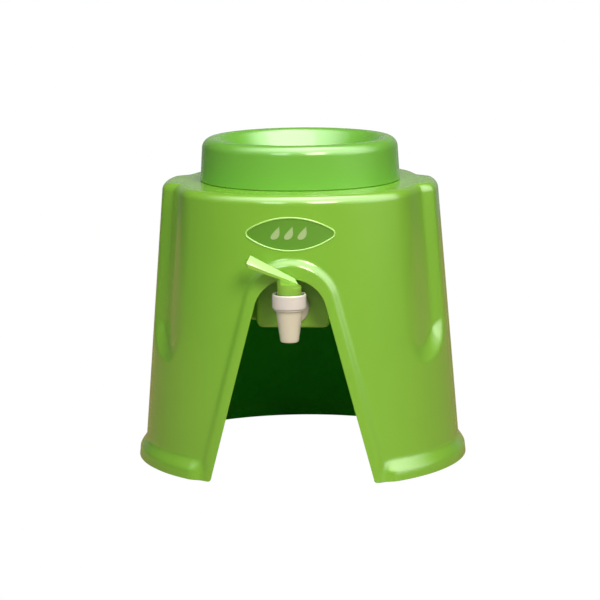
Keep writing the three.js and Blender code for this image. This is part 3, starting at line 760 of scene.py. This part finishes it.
def across_y(bm, profile, steps, height):
    """Turns a [radius, distance in front of the axis] profile round a level front-to-back axis."""
    corners = [bm.verts.new((r, -d, height)) for r, d in profile]
    edges = [bm.edges.new(pair) for pair in zip(corners, corners[1:])]
    bmesh.ops.spin(
        bm, geom=corners + edges, cent=(0, 0, height), axis=(0, 1, 0), angle=2 * math.pi,
        steps=steps, use_merge=True, use_duplicate=False,
    )


def make_tap_body(material):
    bm = bmesh.new()
    foot = -spout_length
    profile = [
        (6.8 * mm, foot + 26 * mm), (6.8 * mm, foot + 0.6 * mm), (7.1 * mm, foot + 0.1 * mm),
        (7.6 * mm, foot), (8.2 * mm, foot + 0.35 * mm), (8.6 * mm, foot + 1.3 * mm),
        (8.8 * mm, foot + 2.4 * mm), (10.4 * mm, foot + 14 * mm), (11.9 * mm, foot + 25.5 * mm),
        (12.35 * mm, -2.4 * mm), (12.6 * mm, -2.1 * mm), (13.9 * mm, -2 * mm), (14.2 * mm, -1.7 * mm),
        (14.2 * mm, -0.5 * mm), (13.9 * mm, -0.3 * mm), (12.9 * mm, -0.3 * mm), (12.9 * mm, 4.2 * mm),
        (10.9 * mm, 4.2 * mm), (10.9 * mm, 1.9 * mm), (9 * mm, 1.9 * mm), (9 * mm, -12.8 * mm),
        (4.6 * mm, -12.8 * mm), (4.6 * mm, -15.3 * mm),
    ]
    spin_profile(bm, profile, 96, closed=True)
    bmesh.ops.translate(bm, verts=bm.verts, vec=barrel)
    shank = [
        (4.2 * mm, flange_face - 24 * mm), (8 * mm, flange_face - 24 * mm), (8 * mm, flange_face - 3.4 * mm),
        (flange_radius - 0.4 * mm, flange_face - 3.4 * mm), (flange_radius, flange_face - 3 * mm),
        (flange_radius, flange_face - 1.2 * mm), (flange_radius - 0.5 * mm, flange_face - 0.45 * mm),
        (flange_radius - 1.6 * mm, flange_face), (9 * mm, flange_face + 0.5 * mm),
        (7.4 * mm, flange_face + 1.2 * mm), (6.3 * mm, flange_face + 2.6 * mm), (6 * mm, flange_face + 5 * mm),
        (6 * mm, -barrel.y - 9.6 * mm), (4.2 * mm, -barrel.y - 9.6 * mm), (4.2 * mm, flange_face - 24 * mm),
    ]
    across_y(bm, shank, 72, shank_height)
    bmesh.ops.remove_doubles(bm, verts=bm.verts, dist=0.005 * mm)
    for tilt in (0, 90, 180, 270):
        fin = bmesh.ops.create_cube(bm, size=1.0)["verts"]
        bmesh.ops.scale(bm, verts=fin, vec=(1.6 * mm, 20 * mm, 8 * mm))
        for v in fin:
            if v.co.z > 0 and v.co.y < 0:
                v.co.z -= 5 * mm
        bmesh.ops.translate(bm, verts=fin, vec=(0, -flange_face - 9.5 * mm, 8.3 * mm))
        turn_fin = Matrix.Rotation(math.radians(tilt), 4, "Y")
        bmesh.ops.transform(bm, verts=fin, matrix=Matrix.Translation((0, 0, shank_height)) @ turn_fin)
    bmesh.ops.recalc_face_normals(bm, faces=bm.faces)
    return link("tap_moulding", mesh_of(bm, "tap_moulding"), material)


def make_ring(material):
    r = ring_radius
    h = ring_height
    profile = [
        (13.2 * mm, 0.2 * mm), (13.4 * mm, 0), (r - 0.4 * mm, 0), (r, 0.4 * mm), (r, h - 1.7 * mm),
        (r - 0.1 * mm, h - 1.1 * mm), (r - 0.35 * mm, h - 0.4 * mm), (r - 0.75 * mm, h),
        (r - 1.1 * mm, h - 0.05 * mm), (r - 1.5 * mm, h - 0.5 * mm), (r - 1.55 * mm, 6.6 * mm),
        (r - 1.9 * mm, 6.3 * mm), (8.5 * mm, 6.3 * mm), (8.3 * mm, 6.1 * mm), (8.3 * mm, 4.5 * mm),
        (13.2 * mm, 4.5 * mm),
    ]
    bm = bmesh.new()
    spin_profile(bm, profile, 120, closed=True)
    for v in bm.verts:
        reach = math.hypot(v.co.x, v.co.y)
        if reach > r - 0.05 * mm and 1.2 * mm < v.co.z + 1 * mm and v.co.z < h - 1 * mm:
            flute = 0.12 * mm * max(math.cos(40 * math.atan2(v.co.x, v.co.y)), 0)
            v.co.x *= (reach - flute) / reach
            v.co.y *= (reach - flute) / reach
    bmesh.ops.recalc_face_normals(bm, faces=bm.faces)
    bmesh.ops.translate(bm, verts=bm.verts, vec=barrel)
    return link("ring_moulding", mesh_of(bm, "ring_moulding"), material)


white_tap = white_plastic("white_polypropylene_satin", 0xEEE4D2, 0xE6DAC2)
tap = make_tap_body(white_tap)
smooth(tap, 38)
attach(tap, "stand")
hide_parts("tap_body")
ring = make_ring(white_plastic("white_polypropylene_gloss", 0xEDE4E0, 0xE6DAD4))
smooth(ring, 40)
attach(ring, "stand")
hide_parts("tap_ring")


# ---- Lever ----
# The green lever is a hollow cup that sits down in the ring, with a roof-shaped paddle that
# rises away from it to the left. Two low lugs stand out of the cup's wall above the ring.
lever_turn = math.radians(12)
cup_radius = 11.1 * mm
cup_wall = 1.6 * mm
cup_foot = 9.1 * mm
slope = 0.4
slope_root = 19.1 * mm
paddle_half = 6.5 * mm
shoulder_cut = 22.3 * mm
# The paddle's long edges, each from its root to its tip, as [distance, height] in millimetres.
# The root is narrower, so that it clears the arch's frame when the lever turns.
paddle_low = ((-7.9, 20.1), (38.1, 38.6))
paddle_side = ((-7.9, 22.4), (39.8, 43.1))
paddle_ridge = ((-5.6, 27.0), (35.3, 49.7))
ridge_share = 0.3
root_share = 0.7


def slope_at(s, lift):
    """Height of the paddle's underside at a distance towards its tip, above the ring's foot."""
    return slope_root + lift + (s + cup_radius) * slope


def cup_solid(radius, foot, lift, cap, steps=72):
    """A cylinder that ends on the paddle's slope, and is cut level at a cap."""
    bm = bmesh.new()
    bmesh.ops.create_cone(
        bm, cap_ends=True, cap_tris=False, segments=steps, radius1=radius, radius2=radius, depth=60 * mm
    )
    bmesh.ops.translate(bm, verts=bm.verts, vec=(0, 0, foot + 30 * mm))
    normal = Vector((slope, 0, 1)).normalized()
    for centre, plane in (((0, 0, slope_at(0, lift)), normal), ((0, 0, cap), Vector((0, 0, 1)))):
        cut = bmesh.ops.bisect_plane(
            bm, geom=bm.verts[:] + bm.edges[:] + bm.faces[:], plane_co=centre, plane_no=plane,
            clear_outer=True,
        )
        edges = [g for g in cut["geom_cut"] if isinstance(g, bmesh.types.BMEdge)]
        bmesh.ops.edgeloop_fill(bm, edges=edges)
    bmesh.ops.recalc_face_normals(bm, faces=bm.faces)
    return bm


def paddle_solid():
    """The paddle: a flat underside, upright sides, and a roof that grows towards the tip."""
    bm = bmesh.new()
    edges = (
        (paddle_low, -1), (paddle_side, -1), (paddle_ridge, -ridge_share),
        (paddle_ridge, ridge_share), (paddle_side, 1), (paddle_low, 1),
    )
    ends = []
    for end in (0, 1):
        corners = []
        for edge, half in edges:
            s, z = edge[end]
            share = root_share if end == 0 and abs(half) == 1 else 1.0
            corners.append(bm.verts.new((-s * mm, half * share * paddle_half, z * mm)))
        ends.append(corners)
    count = len(ends[0])
    for k in range(count):
        bm.faces.new((ends[0][k], ends[0][(k + 1) % count], ends[1][(k + 1) % count], ends[1][k]))
    bm.faces.new((ends[1][0], ends[1][1], ends[1][4], ends[1][5]))
    bm.faces.new((ends[1][1], ends[1][2], ends[1][3], ends[1][4]))
    bm.faces.new(ends[0])
    bmesh.ops.recalc_face_normals(bm, faces=bm.faces)
    bmesh.ops.bevel(
        bm, geom=bm.edges[:], offset=0.5 * mm, segments=3, profile=0.5, affect="EDGES", material=-1
    )
    return bm


def make_lever(material):
    cup = mesh_of(cup_solid(cup_radius, cup_foot, 0.9 * mm, 50 * mm), "lever_moulding")
    lever = link("lever_moulding", cup, material)
    block = 30 * mm
    for side in (-1, 1):
        shoulder = bmesh.new()
        bmesh.ops.create_cube(shoulder, size=block)
        beside = side * (paddle_half + 0.3 * mm + block / 2)
        bmesh.ops.translate(shoulder, verts=shoulder.verts, vec=(0, beside, shoulder_cut + block / 2))
        boolean(lever, shoulder, "DIFFERENCE")
    hollow = cup_solid(cup_radius - cup_wall, cup_foot - 5 * mm, -1.4 * mm, shoulder_cut - cup_wall)
    boolean(lever, hollow, "DIFFERENCE")
    bm = bmesh.new()
    bm.from_mesh(lever.data)
    foot = [e for e in bm.edges if all(abs(v.co.z - cup_foot) < 1e-5 for v in e.verts)]
    bmesh.ops.bevel(bm, geom=foot, offset=0.35 * mm, segments=2, profile=0.5, affect="EDGES", material=-1)
    paddle = paddle_solid()
    paddle_mesh = mesh_of(paddle, "paddle")
    bm.from_mesh(paddle_mesh)
    bpy.data.meshes.remove(paddle_mesh)
    for start, sweep in ((math.radians(8), math.radians(60)), (math.radians(112), math.radians(60))):
        lug = bmesh.new()
        section = [(10.9, 15.6), (11.35, 15.8), (11.5, 16.2), (11.5, 19.4), (10.9, 19.6)]
        spin_profile(lug, [(r * mm, z * mm) for r, z in section], 16, start=start, sweep=sweep, closed=True)
        bmesh.ops.holes_fill(lug, edges=lug.edges, sides=0)
        bmesh.ops.recalc_face_normals(lug, faces=lug.faces)
        lug_mesh = mesh_of(lug, "lug")
        bm.from_mesh(lug_mesh)
        bpy.data.meshes.remove(lug_mesh)
    bmesh.ops.rotate(bm, verts=bm.verts, cent=(0, 0, 0), matrix=Matrix.Rotation(lever_turn, 3, "Z"))
    bmesh.ops.translate(bm, verts=bm.verts, vec=barrel)
    old = lever.data
    lever.data = mesh_of(bm, "lever_made")
    bpy.data.meshes.remove(old)
    lever.data.materials.append(material)
    return lever


lever = make_lever(polypropylene("green_acetal_gloss", 0x98CE4C, 0x90C644, roughness=0.24))
smooth(lever, 30)
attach(lever, "lever")
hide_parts("tap_lever")


# ---- Fittings ----
# The small parts that are seen only from below or behind, or with the collar lifted: screws,
# nut, gaskets, bush, pin, stem, valve cup and spring. Their shapes are the ones in model.glb.
def stainless(name):
    """Drawn stainless steel with fine scratches along it and a faint dull film."""
    material = bpy.data.materials.new(name)
    material.use_nodes = True
    tree = material.node_tree
    shader = put(tree.nodes["Principled BSDF"], Base_Color=linear(0xB9BABC), Metallic=1.0)
    place = add(tree, "ShaderNodeTexCoord")
    stretch = add(tree, "ShaderNodeMapping", [("Vector", place.outputs["Object"])])
    put(stretch, Scale=(1 / (0.2 * mm), 1 / (0.2 * mm), 1 / (3 * mm)))
    lines = add(tree, "ShaderNodeTexNoise", [("Vector", stretch.outputs["Vector"])])
    put(lines, Scale=1.0, Detail=3.0)
    dull = add(tree, "ShaderNodeMapRange", [("Value", lines.outputs["Fac"])])
    put(dull, To_Min=0.2, To_Max=0.42)
    tree.links.new(dull.outputs["Result"], shader.inputs["Roughness"])
    bump = add(tree, "ShaderNodeBump", [("Height", lines.outputs["Fac"])])
    put(bump, Strength=0.3, Distance=0.01 * mm)
    tree.links.new(bump.outputs["Normal"], shader.inputs["Normal"])
    return material


def silicone(name):
    """Milky silicone rubber: soft, slightly see-through and dusty."""
    material = polypropylene(name, 0xEAE8DF, 0xE0DDD2, roughness=0.5, peel=0.02)
    put(material.node_tree.nodes["Principled BSDF"], Subsurface_Weight=0.5, Subsurface_Scale=3 * mm)
    return material


steel = stainless("stainless_steel_drawn")
rubber = silicone("silicone_rubber_milky")
finishes = {
    "tank_screw_1": steel, "tank_screw_2": steel, "tank_screw_3": steel, "tank_screw_4": steel,
    "shank_nut": white_tap, "outer_gasket": rubber, "inner_gasket": rubber, "lever_bush": white_tap,
    "lever_pin": steel, "valve_stem": white_tap, "valve_cup": rubber, "stem_spring": steel,
}
for name, material in finishes.items():
    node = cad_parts[name]
    node.data.materials.clear()
    node.data.materials.append(material)
